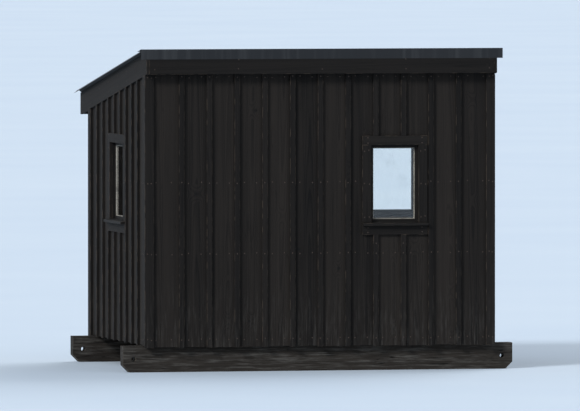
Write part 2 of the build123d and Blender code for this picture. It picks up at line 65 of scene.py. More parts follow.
# %% [markdown]
# ## Where the viewer stands
# The hut was seen from far off over flat ice, a little from its left end. A camera as far away as that,
# with a long lens, keeps the same nearly parallel lines while the hut fills the picture. Moving nearer with
# a short lens would spread the lines and show the roof or the floor at other angles.

# %% Camera
view_turn = math.radians(13)
view_distance = 85.6
eye_height = 3.9
picture_width = 4.1
nearest, farthest = 1.0, 3000.0

floor_low, floor_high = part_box("floor_deck")
cabin_middle = (floor_low + floor_high) / 2
aim = Vector((cabin_middle.x, cabin_middle.y, (cad_low.z + cad_high.z) / 2))
eye = Vector((
    cabin_middle.x - view_distance * math.sin(view_turn),
    cabin_middle.y - view_distance * math.cos(view_turn),
    eye_height,
))
lens = bpy.data.cameras.new("far_viewer")
lens.lens = lens.sensor_width * view_distance / picture_width
lens.clip_start, lens.clip_end = nearest, farthest
camera = bpy.data.objects.new("far_viewer", lens)
bpy.context.collection.objects.link(camera)
camera.location = eye
camera.rotation_euler = (aim - eye).to_track_quat("-Z", "Y").to_euler()
bpy.context.scene.camera = camera
print("lens:", round(lens.lens), "mm")

# %% [markdown]
# ## Writing materials as sums
# A material is a net of nodes, which is slow to read when each link is made by hand. A small class can wrap
# an output socket and overload Python's operators, so that grain * 0.4 + 0.1 adds its own Math nodes. Every
# other node comes from one method that takes the node's kind, its settings and its sockets.

# %% Signals that can be summed
class Signal:
    """One output of a finish's nodes, which can be added, multiplied and so on."""

    def __init__(self, finish, socket):
        self.finish = finish
        self.socket = socket

    def __add__(self, other):
        return self.finish.sum("ADD", self, other)

    def __sub__(self, other):
        return self.finish.sum("SUBTRACT", self, other)

    def __rsub__(self, other):
        return self.finish.sum("SUBTRACT", other, self)

    def __mul__(self, other):
        return self.finish.sum("MULTIPLY", self, other)

    def __gt__(self, other):
        return self.finish.sum("GREATER_THAN", self, other)

    __radd__ = __add__
    __rmul__ = __mul__

    def other(self, name):
        """Another output of the same node."""
        return Signal(self.finish, self.socket.node.outputs[name])

    def fraction(self):
        return self.finish.sum("FRACT", self)

    def wave(self):
        return self.finish.sum("SINE", self)

    def rise(self, low, high):
        """0 below low, 1 above high, and a smooth step between."""
        settings = {"interpolation_type": "SMOOTHSTEP"}
        sockets = {"Value": self, "From Min": low, "From Max": high}
        return self.finish.node("ShaderNodeMapRange", settings, sockets)


print("signals ready")


# %% A finish under construction
class Finish:
    """A material under construction."""

    def __init__(self, name):
        self.material = bpy.data.materials.new(name)
        self.material.use_nodes = True
        self.tree = self.material.node_tree
        self.tree.nodes.clear()

    def node(self, kind, settings=None, sockets=None, output=0):
        """Adds a node, sets it up and fills its sockets with values or links."""
        made = self.tree.nodes.new(kind)
        for name, value in (settings or {}).items():
            setattr(made, name, value)
        for name, value in (sockets or {}).items():
            if isinstance(value, Signal):
                self.tree.links.new(value.socket, made.inputs[name])
            else:
                made.inputs[name].default_value = value
        return Signal(self, made.outputs[output])

    def sum(self, operation, *terms):
        return self.node("ShaderNodeMath", {"operation": operation}, dict(enumerate(terms)))

    def place(self):
        """Where a point lies on its object."""
        return self.node("ShaderNodeTexCoord", output="Object")

    def attribute(self, name, output="Fac"):
        return self.node("ShaderNodeAttribute", {"attribute_name": name}, output=output)

    def split(self, vector):
        made = self.node("ShaderNodeSeparateXYZ", sockets={"Vector": vector})
        return [Signal(self, output) for output in made.socket.node.outputs]

    def join(self, x, y, z):
        return self.node("ShaderNodeCombineXYZ", sockets={"X": x, "Y": y, "Z": z})

    def noise(self, vector, scale=1.0, detail=3.0, roughness=0.5):
        sockets = {"Vector": vector, "Scale": scale, "Detail": detail, "Roughness": roughness}
        return self.node("ShaderNodeTexNoise", sockets=sockets)

    def mix(self, amount, first, second):
        """The first colour, with an amount of the second."""
        made = self.node("ShaderNodeMix", {"data_type": "RGBA"})
        inputs = [s for s in made.socket.node.inputs if s.type == "RGBA"]
        inputs.insert(0, made.socket.node.inputs[0])
        for socket, value in zip(inputs, (amount, first, second)):
            if isinstance(value, Signal):
                self.tree.links.new(value.socket, socket)
            else:
                socket.default_value = value
        return Signal(self, next(s for s in made.socket.node.outputs if s.type == "RGBA"))

    def bump(self, height, distance, strength):
        sockets = {"Height": height, "Distance": distance, "Strength": strength}
        return self.node("ShaderNodeBump", sockets=sockets)

    def surface(self, **sockets):
        named = {
            name.replace("_", " ").title().replace("Ior", "IOR"): value
            for name, value in sockets.items()
        }
        self.close(self.node("ShaderNodeBsdfPrincipled", sockets=named), "ShaderNodeOutputMaterial")
        return self.material

    def close(self, shader, kind):
        output = self.tree.nodes.new(kind)
        self.tree.links.new(shader.socket, output.inputs["Surface"])


print("finish maker ready")


# %% Colours
def colour(red, green, blue):
    """A colour as a painter's 0 to 255 values, made linear for the shader."""
    def linear(value):
        value /= 255
        return value / 12.92 if value <= 0.04045 else ((value + 0.055) / 1.055) ** 2.4

    return (linear(red), linear(green), linear(blue), 1.0)


print("mid grey in linear light:", round(colour(128, 128, 128)[0], 3))

# %% [markdown]
# ## The ground and the light
# The hut stands on a pale, plain floor under a soft, even sky, as on ice under cloud. A wide sun lamp from
# the left rakes over the front, so that each batten throws a soft shadow. A weaker and still wider lamp
# from the far right lifts the end with the door and the back out of the dark, as the bright ice all round
# would. The sky's own light is plain. What the viewer, or the glass, sees of it is a paler mist, chosen
# with the Light Path node, so that the background stays light without adding light to the hut.

# %% Floor
floor_width = 3000.0
floor_tones = colour(175, 189, 204), colour(186, 198, 209)

bpy.ops.mesh.primitive_plane_add(size=floor_width, location=(0, 0, 0))
floor = bpy.context.object
floor.name = "floor"
ice = Finish("pale_floor")
place = ice.place()
drift = ice.noise(place, scale=0.35, detail=4)
floor.data.materials.append(ice.surface(
    base_color=ice.mix(drift, *floor_tones),
    roughness=0.85,
    specular_ior_level=0.1,
))
print("floor:", floor_width, "m wide")

# %% Sky
mist_colour, cloud_colour = colour(222, 232, 242), colour(240, 246, 255)
cloud_strength = 0.64

bpy.context.scene.view_settings.view_transform = "Standard"
sky = bpy.data.worlds.new("sky")
bpy.context.scene.world = sky
sky.use_nodes = True
sky.node_tree.nodes.clear()


class Sky(Finish):
    """The world's nodes, written like a finish."""

    def __init__(self, world):
        self.tree = world.node_tree


air = Sky(sky)
path = air.node("ShaderNodeLightPath")
to_eye, mirrored, through_glass = (
    path.other(name) for name in ("Is Camera Ray", "Is Glossy Ray", "Is Transmission Ray")
)
mist = air.node("ShaderNodeBackground", sockets={"Color": mist_colour, "Strength": 1.0})
cloud = air.node("ShaderNodeBackground", sockets={"Color": cloud_colour, "Strength": cloud_strength})
seen = air.sum("MINIMUM", to_eye + mirrored + through_glass, 1.0)
both = air.node("ShaderNodeMixShader", sockets={"Fac": seen, 1: cloud, 2: mist})
air.close(both, "ShaderNodeOutputWorld")
print("sky strength:", cloud_strength)

# %% Lamps
sun_strength, sun_spread, sun_way = 2.7, 14, (3.4, 2.6, -2.6)
fill_strength, fill_spread, fill_way = 1.9, 50, (-2.6, -2.2, -2.2)


def lamp(strength, spread, way):
    """A distant lamp, so wide that its shadows are soft, which shines a given way."""
    bpy.ops.object.light_add(type="SUN")
    light = bpy.context.object
    light.data.energy = strength
    light.data.angle = math.radians(spread)
    light.rotation_euler = Vector(way).to_track_quat("-Z", "Y").to_euler()


lamp(sun_strength, sun_spread, sun_way)
lamp(fill_strength, fill_spread, fill_way)
print("lamps:", len(bpy.data.lights))

# %% [markdown]
# ## Grain that follows the timber
# Each board was cut from a log, so its rings are tubes round a heart line somewhere beside the board. If a
# finish knows where a point lies along, across and through its own board, measured from that heart line,
# then the same sum draws long streaks on the face and curved rings on the end. So every timber gets an
# attribute with these three distances, one with a tone of its own, and one that marks its eased edges for
# wear. A picture of wood would repeat, and would not meet at the corners.

# %% Read the roof's pitch
deck = nodes["roof_deck"].data
widest_face = max(deck.polygons, key=lambda face: face.area)
pitch = math.acos(abs(widest_face.normal.z))
along_roof = Matrix.Rotation(pitch, 3, "X")
print("roof pitch:", round(math.degrees(pitch), 2), "degrees")

# %% Tell a mesh's solids apart
def solids_of(mesh):
    """The mesh's separate closed solids, each a list of its vertices."""
    leader = list(range(len(mesh.vertices)))

    def top(i):
        while leader[i] != i:
            leader[i] = leader[leader[i]]
            i = leader[i]
        return i

    for edge in mesh.edges:
        first, second = (top(i) for i in edge.vertices)
        leader[first] = second
    groups = {}
    for vertex in mesh.vertices:
        groups.setdefault(top(vertex.index), []).append(vertex)
    return list(groups.values())


def span(points):
    """Lowest and highest corner of some points."""
    low = Vector([min(p[i] for p in points) for i in range(3)])
    high = Vector([max(p[i] for p in points) for i in range(3)])
    return low, high


def boxes_of(piece_name):
    """Lowest and highest corner of each separate timber of a finished piece."""
    return [span([v.co for v in timber]) for timber in solids_of(bpy.data.objects[piece_name].data)]


print("solid finder ready")

# %% Grain attributes
chance = random.Random(12)
heart_across = 0.05
heart_depth = (0.03, 0.09)
lean_across, lean_through = 0.02, 0.012
grain_stretch = 40
rounded_normals = (0.35, 0.985)


def lay_grain(piece, turned=False):
    """Gives each timber of a piece its own grain, along its longest side, and marks the eased edges."""
    mesh = piece.data
    for name, kind, where in (
        ("grain", "FLOAT_VECTOR", "POINT"),
        ("tone", "FLOAT", "POINT"),
        ("edge", "FLOAT", "CORNER"),
    ):
        mesh.attributes.new(name, kind, where)
    grain, tone, edge = (mesh.attributes[name].data for name in ("grain", "tone", "edge"))
    turn = along_roof if turned else Matrix.Identity(3)
    for timber in solids_of(mesh):
        places = {vertex.index: turn @ vertex.co for vertex in timber}
        low, high = span(list(places.values()))
        size = high - low
        through, across, along = sorted(range(3), key=lambda i: size[i])
        middle = (low + high) / 2
        heart = (
            chance.uniform(-heart_across, heart_across),
            chance.choice((-1, 1)) * chance.uniform(*heart_depth),
        )
        lean = (
            chance.uniform(-lean_across, lean_across),
            chance.uniform(-lean_through, lean_through),
        )
        start = chance.uniform(0, grain_stretch)
        shade = chance.random()
        for index, place in places.items():
            run = place[along] - middle[along]
            grain[index].vector = (
                start + run,
                place[across] - middle[across] + heart[0] + lean[0] * run,
                place[through] - middle[through] + heart[1] + lean[1] * run,
            )
            tone[index].value = shade
    for face in mesh.polygons:
        straight = max(abs(part) for part in turn @ face.normal)
        worn = 1.0 if rounded_normals[0] < straight < rounded_normals[1] else 0.0
        for corner in face.loop_indices:
            edge[corner].value = worn


print("grain maker ready")

# %% [markdown]
# ## The timber finishes
# The outside is softwood under a dark brown, nearly black stain. Stain soaks into soft early wood and
# slides off hard late wood and knots, so the grain shows through as a change of tone. Rubbed edges let the
# wood show. The frame inside is bare softwood gone honey brown. One recipe serves all of them, with other
# colours and other amounts.

# %% Colours and measures of the timber
wall_tones = colour(10, 9, 9), colour(36, 32, 29), colour(84, 73, 61)
trim_tones = colour(9, 8, 8), colour(28, 25, 23), colour(76, 66, 56)
joinery_tones = colour(12, 11, 10), colour(27, 24, 22), colour(70, 62, 53)
skid_tones = colour(17, 15, 14), colour(46, 42, 38), colour(92, 84, 74)
bare_tones = colour(112, 80, 50), colour(168, 130, 88), colour(186, 150, 110)
scuffed_grey = colour(96, 94, 90)
crack_black = colour(8, 7, 6)
knots_per_metre = 5.5
knotless_share = 0.62
rings_per_metre = 165
peeled_rings = 24
fibres_per_metre = 700
saw_marks_per_metre = 1400
splash_height = (0.08, 0.75)
grain_relief = 0.0009
print("rings", round(1000 / rings_per_metre, 1), "mm apart")

# %% Inside and outside
clad_low, clad_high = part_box("front_wall")
clad_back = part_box("rear_wall")[1].y
board_thickness = clad_high.y - clad_low.y


def how_far_outside(f, place):
    """How far a point lies outside the cladding, for timbers that run through it."""
    x, y, _ = f.split(place)
    past_ends = f.sum("ABSOLUTE", x) - (clad_high.x - board_thickness)
    past_front = (clad_low.y + board_thickness) - y
    past_back = y - (clad_back - board_thickness)
    return f.sum("MAXIMUM", past_ends, f.sum("MAXIMUM", past_front, past_back))


print("cladding:", round(board_thickness * 1000), "mm thick")


# %% Timber recipe
def timber_finish(name, tones, rough=0.72, sawn=1.0, wear=0.6, checked=0.4, splash=0.0,
                  bare_inside=False, peeled=False):
    """Softwood with rings, fibres and knots, between a deep and a pale tone, and rubbed to a worn one."""
    f = Finish(name)
    deep, pale, worn = tones
    along, across, through = f.split(f.attribute("grain", "Vector"))
    tone = f.attribute("tone")
    world = f.place()

    knot_place = f.join(along * knots_per_metre, across * knots_per_metre, tone * 90)
    cells = f.node("ShaderNodeTexVoronoi", {"feature": "F1"}, {"Vector": knot_place, "Scale": 1.0})
    nearness = cells.other("Distance")
    pick = f.split(cells.other("Color"))[0] > knotless_share
    knot = (1 - nearness.rise(0.045, 0.085)) * pick
    swirl = (1 - nearness.rise(0.05, 0.42)) * pick

    bend = f.noise(f.join(along * 1.1, across * 5, through * 5), detail=2) - 0.5
    if peeled:
        veneer = f.noise(f.join(along * 0.8, across * 3.2, tone * 40), detail=2)
        ring = (veneer * peeled_rings).fraction()
    else:
        cut = f.join(0.0, across, through)
        heart = f.node("ShaderNodeVectorMath", {"operation": "LENGTH"}, {0: cut}, "Value")
        ring = ((heart + bend * 0.016 + swirl * 0.012) * rings_per_metre).fraction()
    late = ring.rise(0.35, 0.85) * (1 - ring.rise(0.9, 1.0))

    fibre_place = f.join(along * 14, across * fibres_per_metre, through * fibres_per_metre)
    fibre = f.noise(fibre_place, detail=4, roughness=0.65)
    streak = f.noise(f.join(along * 0.9, across * 34, through * 34), detail=3)
    patch = f.noise(world, scale=1.6, detail=3)
    rings_and_fibres = late * 0.30 + streak.rise(0.3, 0.7) * 0.34 + fibre * 0.26
    depth = rings_and_fibres + (patch - 0.5) * 0.4 + (tone - 0.5) * 0.5
    if bare_inside:
        outside = how_far_outside(f, world).rise(0.0, 0.002)
        deep, pale = f.mix(outside, bare_tones[0], deep), f.mix(outside, bare_tones[1], pale)
    stained = f.mix(depth, pale, deep)
    stained = f.mix(knot * 0.8, stained, deep)

    valley = f.sum("ABSOLUTE", f.noise(f.join(along * 1.3, across * 26, through * 26), detail=2) - 0.5)
    dry = f.noise(f.join(along * 3, across * 8, tone * 50), detail=2).rise(0.52, 0.6)
    check = (1 - valley.rise(0.002, 0.012)) * dry * checked
    stained = f.mix(check, stained, crack_black)
    if splash:
        low_down = 1 - f.split(world)[2].rise(*splash_height)
        scuffs = f.noise(f.join(along * 5, across * 60, through * 60), detail=5, roughness=0.7)
        stained = f.mix(low_down * scuffs.rise(0.45, 0.75) * splash, stained, scuffed_grey)

    rub = f.attribute("edge") * f.noise(world, scale=19.0, detail=5).rise(0.45, 0.62) * wear
    coloured = f.mix(rub, stained, worn)

    saw_line = (along * saw_marks_per_metre + bend * 9 + across * 30).wave()
    saw_line = saw_line * f.noise(world, scale=7.0).rise(0.4, 0.7)
    height = fibre * 0.8 + late * 0.35 + knot * 0.5 + saw_line * 0.12 * sawn - check * 2.5
    return f.surface(
        base_color=coloured,
        roughness=rough + fibre * 0.16 - knot * 0.12,
        specular_ior_level=0.15,
        normal=f.bump(height, grain_relief, 0.7),
    )


print("timber recipe ready")

# %% Timber finishes
wall_stain = timber_finish("stained_boards", wall_tones, splash=0.28, bare_inside=True)
trim_stain = timber_finish("stained_trim", trim_tones, wear=0.8, splash=0.2)
joinery_stain = timber_finish("stained_joinery", joinery_tones, rough=0.6, sawn=0.2, checked=0.0)
skid_timber = timber_finish(
    "weathered_skids", skid_tones, rough=0.8, sawn=1.5, wear=0.9, checked=1.0, splash=0.6,
)
bare_timber = timber_finish("bare_softwood", bare_tones, rough=0.7, sawn=0.5)
roof_timber = timber_finish("rafter_softwood", trim_tones, wear=0.0, bare_inside=True)
plywood = {"rough": 0.65, "sawn": 0.0, "checked": 0.0, "peeled": True}
roof_plywood = timber_finish("roof_plywood", trim_tones, wear=0.0, bare_inside=True, **plywood)
floor_plywood = timber_finish("floor_plywood", bare_tones, wear=0.4, **plywood)
print(wall_stain.name, "has", len(wall_stain.node_tree.nodes), "shader nodes")

# %% [markdown]
# ## Easing the edges of finished timbers
# Battens, casings, rafters and studs are plain sawn pieces, and the CAD solids already have their shapes.
# What they lack is the small round that a saw, a plane and some winters leave on each edge, which catches
# the light. A copy of each node can have its loose triangles merged into whole faces and its edges
# bevelled. Modelling each stick again would only risk a misfit.

# %% Copy and ease a node
same_place = 0.00002
flat_angle = math.radians(0.4)
sharp_angle = math.radians(40)


def only(*objects):
    """Selects these objects and nothing else."""
    bpy.ops.object.select_all(action="DESELECT")
    for piece in objects:
        piece.select_set(True)
    bpy.context.view_layer.objects.active = objects[0]


def merged_copy(node, name):
    """A copy of a node as closed solids with whole flat faces."""
    piece = bpy.data.objects.new(name, nodes[node].data.copy())
    bpy.context.collection.objects.link(piece)
    piece.data.materials.clear()
    only(piece)
    bpy.ops.object.mode_set(mode="EDIT")
    bpy.ops.mesh.select_all(action="SELECT")
    bpy.ops.mesh.remove_doubles(threshold=same_place)
    bpy.ops.mesh.dissolve_limited(angle_limit=flat_angle)
    bpy.ops.object.mode_set(mode="OBJECT")
    bpy.ops.mesh.customdata_custom_splitnormals_clear()
    return piece


def ease(piece, width, segments=2):
    """Rounds the sharp edges of a piece."""
    only(piece)
    bevel = piece.modifiers.new("eased", "BEVEL")
    bevel.width = width
    bevel.segments = segments
    bevel.limit_method = "ANGLE"
    bevel.angle_limit = sharp_angle
    bpy.ops.object.modifier_apply(modifier=bevel.name)


print("eases edges sharper than", round(math.degrees(sharp_angle)), "degrees")


# %% Finish and fit a piece
def coat(piece, finish):
    """Gives a piece one finish in place of any other."""
    piece.data.materials.clear()
    piece.data.materials.append(finish)


def fit(piece, finish, slot_name, *stands_for):
    """Hangs a finished piece on the hut in place of its nodes."""
    coat(piece, finish)
    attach(piece, "root")
    if stands_for:
        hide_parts(*stands_for)


def finish_timbers(node, finish, slot_name, width, turned=False):
    """Eases a node's timbers, gives them grain and hangs them."""
    piece = merged_copy(node, node + "_timber")
    ease(piece, width)
    lay_grain(piece, turned)
    fit(piece, finish, slot_name, node)
    return piece


print("fitter ready")

# %% Trim and skids
sawn_edge = 0.0018
skid_edge = 0.005
plain_trim = ("battens", "front_and_rear_corner_boards", "side_corner_boards", "side_casings",
              "head_casings_and_aprons", "fascia_boards")
for node in plain_trim:
    finish_timbers(node, trim_stain, "trim_boards", sawn_edge)
finish_timbers("rake_boards", trim_stain, "trim_boards", sawn_edge, turned=True)
for node in ("front_skid", "rear_skid"):
    finish_timbers(node, skid_timber, "skid_timber", skid_edge)
print("trim and skids eased")

# %% The frame inside
frame_edge = 0.0025
ledge_edge = 0.003
bare_kinds = ("_studs", "_plates", "_girts", "joists", "_rims", "rough_sills")
for node in nodes:
    if node.endswith(bare_kinds):
        finish_timbers(node, bare_timber, "framing_timber", frame_edge)
for node in ("rafters", "rafter_blocks"):
    finish_timbers(node, roof_timber, "framing_timber", frame_edge, turned=True)
finish_timbers("door_ledges", wall_stain, "framing_timber", ledge_edge)
print("inner frame finished")

# %% [markdown]
# ## Sawing the walls into boards
# Each wall is clad with upright boards, nailed side by side with a few millimetres between them, and a
# batten covers each gap. The CAD model has each wall as one sheet with its window or door cut out and its
# top cut to the roof. Copies of that sheet can be bisected on both sides to leave one board each, which
# keeps every cut exact. Adding the boards as boxes would mean cutting each window and slope a second time.

# %% Find where the battens are
gap_between_boards = 0.005
touching_reach = 0.002
wall_nodes = ("front_wall", "rear_wall", "left_wall", "right_wall")
batten_boxes = boxes_of("battens_timber")


def joints_under_battens(wall):
    """Places along a wall where a batten covers the gap between two boards."""
    low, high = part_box(wall)
    size = high - low
    across = 0 if size.x > size.y else 1
    facing = 1 - across
    found = set()
    for start, end in batten_boxes:
        away = min(abs(start[facing] - high[facing]), abs(end[facing] - low[facing]))
        if away < touching_reach and low[across] < start[across] < high[across]:
            found.add(round((start[across] + end[across]) / 2, 4))
    return across, sorted(found)


for wall in wall_nodes:
    print(wall, "has", len(joints_under_battens(wall)[1]) + 1, "boards")

# %% Saw and hang the boards
board_end_play = 0.005
board_edge = 0.0015


def saw(piece, place, direction):
    """Cuts off what lies beyond a plane and closes the cut."""
    only(piece)
    bpy.ops.object.mode_set(mode="EDIT")
    bpy.ops.mesh.select_all(action="SELECT")
    bpy.ops.mesh.bisect(plane_co=place, plane_no=direction, use_fill=True, clear_outer=True)
    bpy.ops.object.mode_set(mode="OBJECT")


def sawn_apart(node, across, joints, gap, end_play=0.0):
    """The node's solid sawn at the joints, with feet that may end a little unevenly, as one piece."""
    solid = merged_copy(node, node + "_solid")
    low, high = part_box(node)
    edges = [low[across] - 1] + joints + [high[across] + 1]
    boards = []
    for start, end in zip(edges, edges[1:]):
        board = bpy.data.objects.new(node + "_length", solid.data.copy())
        bpy.context.collection.objects.link(board)
        direction = Vector((0, 0, 0))
        direction[across] = 1
        saw(board, direction * (start + gap / 2), -direction)
        saw(board, direction * (end - gap / 2), direction)
        if end_play:
            saw(board, (0, 0, low.z + chance.uniform(0, end_play)), (0, 0, -1))
        boards.append(board)
    only(*boards)
    bpy.ops.object.join()
    bpy.data.objects.remove(solid)
    piece = bpy.context.object
    piece.name = node + "_sawn"
    return piece


def board_wall(wall):
    """Saws one wall into its boards and hangs them."""
    across, joints = joints_under_battens(wall)
    piece = sawn_apart(wall, across, joints, gap_between_boards, board_end_play)
    ease(piece, board_edge, 1)
    lay_grain(piece)
    fit(piece, wall_stain, "wall_boards", wall)
    return piece


walls = [board_wall(wall) for wall in wall_nodes]
print("boards:", sum(len(solids_of(wall.data)) for wall in walls))

# %% Plywood sheets of the floor and the roof
sheet_joint = 0.002
sheet_edge = 0.001


def middles_of(node, axis):
    """Middles of a node's separate timbers along an axis, in order."""
    return sorted((low[axis] + high[axis]) / 2 for low, high in boxes_of(node + "_timber"))


joist_places = middles_of("floor_joists", 0)
rafter_places = middles_of("rafters", 0)
floor_joints = [joist_places[len(joist_places) // 2]]
roof_joints = [rafter_places[1], rafter_places[-2]]
for node, joints, finish, turned in (
    ("floor_deck", floor_joints, floor_plywood, False),
    ("roof_deck", roof_joints, roof_plywood, True),
):
    sheets = sawn_apart(node, 0, joints, sheet_joint)
    ease(sheets, sheet_edge, 1)
    lay_grain(sheets, turned)
    fit(sheets, finish, "framing_timber", node)
print("plywood joints at", [round(place, 2) for place in floor_joints + roof_joints])

# %% [markdown]
# ## Window and door joinery
# Linings and sills are planed, so their edges are crisper and their stain is smoother than on the sawn
# boards. A sash is two upright stiles with a rail between them at the top and the bottom, and its grain
# turns at the corners. The CAD ring is sawn there, so that each member gets grain along its own length.

# %% Linings and sills
planed_kinds = ("window_jambs", "window_heads", "window_sills", "door_jambs", "threshold")
planed_edge = 0.0015
for node in nodes:
    if node.endswith(planed_kinds):
        lining = finish_timbers(node, joinery_stain, "joinery", planed_edge)
        print(lining.name, "has", len(solids_of(lining.data)), "pieces")

# %% Sashes
sashes = [node for node in nodes if node.endswith("_sash")]
corner_joint = 0.0004
sash_edge = 0.001
same_plane = 0.0001


def wall_axes(node):
    """The axis that runs along a flat node's wall, and the one that faces out of it."""
    low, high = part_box(node)
    across = 0 if high.x - low.x > high.y - low.y else 1
    return across, 1 - across


def ring_edges(node, axis):
    """Outer, inner, inner and outer edge of a sash along an axis, read from its outside face."""
    facing = wall_axes(node)[1]
    corners = [v.co for v in nodes[node].data.vertices]
    face = max((c[facing] for c in corners), key=abs)
    return sorted({round(c[axis], 5) for c in corners if abs(c[facing] - face) < same_plane})


for node in sashes:
    across = wall_axes(node)[0]
    sash = sawn_apart(node, across, ring_edges(node, across)[1:3], corner_joint)
    ease(sash, sash_edge, 1)
    lay_grain(sash)
    fit(sash, joinery_stain, "joinery", node)
    print(node, "has", len(solids_of(sash.data)), "members")

# %% [markdown]
# ## The door leaf
# The door is five upright boards with eased edges, so that a V shows at each joint, nailed to ledges and
# braces at the back. It is sawn from the leaf's solid, as the walls are.

# %% Door boards
leaf_low, leaf_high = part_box("door_leaf")
door_board_count = 5
door_board_joint = 0.0015
door_board_edge = 0.004
door_board = (leaf_high.y - leaf_low.y) / door_board_count
door_joints = [leaf_low.y + door_board * i for i in range(1, door_board_count)]
door_boards = sawn_apart("door_leaf", 1, door_joints, door_board_joint)
ease(door_boards, door_board_edge, 1)
lay_grain(door_boards)
fit(door_boards, wall_stain, "wall_boards", "door_leaf")
print("door boards:", door_board_count, "of", round(door_board * 1000), "mm")

# %% [markdown]
# ## Panes and putty
# The glass is plain, a little wavy, and dusty where breath and spray have dried on it. The panes need no
# new shape, so they only get a finish. Each is bedded in a fillet of putty that nobody painted: a ring that
# is thick at the wood and runs out to nothing on the glass. It has gone grey and crazed, and at the end
# wall, seen almost edge on, it is what still shows of the window. One box, inset on both faces, opened and
# bridged, gives that section with true corners. A bevel on the sash would look alike from afar but could
# not crack or have a colour of its own.

# %% Panes
clear_glass, dusty_glass = (0.97, 0.99, 0.985, 1), (0.88, 0.9, 0.9, 1)

pane = Finish("window_glass")
place = pane.place()
waves = pane.noise(place, scale=6.0, detail=1)
grime = pane.noise(place, scale=9.0, detail=5).rise(0.5, 0.8)
pane.surface(
    base_color=pane.mix(grime, clear_glass, dusty_glass),
    roughness=grime * 0.06,
    transmission_weight=1.0,
    ior=1.5,
    normal=pane.bump(waves, 0.0004, 0.3),
)
for node in nodes:
    if node.endswith("_glass"):
        coat(nodes[node], pane.material)
print("panes finished")

# %% A ring of putty
putty_reach = 0.006
putty_depth = 0.009
putty_lip = 0.0006
square_on = 0.9


def block(width, depth, height, foot=0.0):
    """An upright box over the origin."""
    bpy.ops.mesh.primitive_cube_add(
        size=1,
        location=(0, 0, foot + height / 2),
        scale=(width, depth, height),
    )
    bpy.ops.object.transform_apply(location=True, rotation=True, scale=True)
    return bpy.context.object


def select_faces(piece, wanted):
    """Leaves the piece in edit mode with only the wanted faces selected."""
    only(piece)
    bpy.ops.object.mode_set(mode="EDIT")
    bpy.ops.mesh.select_mode(type="FACE")
    bpy.ops.mesh.select_all(action="DESELECT")
    bpy.ops.object.mode_set(mode="OBJECT")
    for face in piece.data.polygons:
        face.select = wanted(face)
    bpy.ops.object.mode_set(mode="EDIT")


def putty_ring(width, height):
    """Ring of putty round a pane that faces up, with its back at 0."""
    ring = block(width, height, putty_depth)
    select_faces(ring, lambda face: abs(face.normal.z) > square_on)
    bpy.ops.mesh.inset(thickness=putty_reach)
    bpy.ops.mesh.delete(type="FACE")
    bpy.ops.mesh.select_mode(type="VERT")
    bpy.ops.object.mode_set(mode="OBJECT")
    for corner in ring.data.vertices:
        corner.select = corner.co.z > putty_lip and abs(corner.co.x) < width / 2 - putty_reach / 2
    bpy.ops.object.mode_set(mode="EDIT")
    bpy.ops.transform.translate(value=(0, 0, putty_lip - putty_depth))
    bpy.ops.mesh.select_all(action="DESELECT")
    bpy.ops.mesh.select_non_manifold()
    bpy.ops.mesh.bridge_edge_loops()
    bpy.ops.mesh.select_all(action="SELECT")
    bpy.ops.mesh.normals_make_consistent(inside=False)
    bpy.ops.object.mode_set(mode="OBJECT")
    return ring


print("putty:", putty_reach * 1000, "mm wide at the glass")

# %% Bed the panes
putty_grey, putty_soot, putty_crack = colour(132, 128, 119), colour(86, 83, 77), colour(44, 41, 38)
cracks_per_metre = 70.0

putty = Finish("grey_putty")
place = putty.place()
crazing = putty.node(
    "ShaderNodeTexVoronoi",
    {"feature": "DISTANCE_TO_EDGE"},
    {"Vector": place, "Scale": cracks_per_metre},
)
crack = 1 - crazing.rise(0.01, 0.05)
soot = putty.noise(place, scale=14.0, detail=4).rise(0.35, 0.75)
putty.surface(
    base_color=putty.mix(crack * 0.7, putty.mix(soot, putty_grey, putty_soot), putty_crack),
    roughness=0.75 + crack * 0.2,
    normal=putty.bump(1 - crack, 0.0006, 0.8),
)
for node in sashes:
    across, facing = wall_axes(node)
    glass_low, glass_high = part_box(node.replace("_sash", "_glass"))
    _, left_edge, right_edge, _ = ring_edges(node, across)
    _, bottom_edge, top_edge, _ = ring_edges(node, 2)
    outward = Vector((0, 0, 0))
    outward[facing] = 1 if glass_high[facing] > 0 else -1
    up = Vector((0, 0, 1))
    place = (glass_low + glass_high) / 2
    place[across] = (left_edge + right_edge) / 2
    place[facing] = glass_high[facing] if outward[facing] > 0 else glass_low[facing]
    place.z = (bottom_edge + top_edge) / 2
    ring = putty_ring(right_edge - left_edge, top_edge - bottom_edge)
    turn = Matrix((up.cross(outward), up, outward)).transposed().to_4x4()
    ring.data.transform(Matrix.Translation(place) @ turn)
    ring.name = node.replace("_sash", "_putty")
    fit(ring, putty.material, "joinery")
    print(ring.name, [round(side, 3) for side in ring.dimensions])

# %% [markdown]
# ## The roof
# The sheets are thin steel with a dark factory paint that winters have turned matt. It is even, so what
# shows is a slight waviness of the flat pans, dust that has run down the slope and small scuffs. A glossier
# paint would turn white wherever the lamp's mirror image falls on the slope. The ribs are in the sheets
# already, so the roof needs a finish and no new shape.

# %% Painted steel
roof_grey, roof_dust, roof_scuff = colour(34, 36, 39), colour(62, 64, 66), colour(120, 122, 124)
matt = 0.64


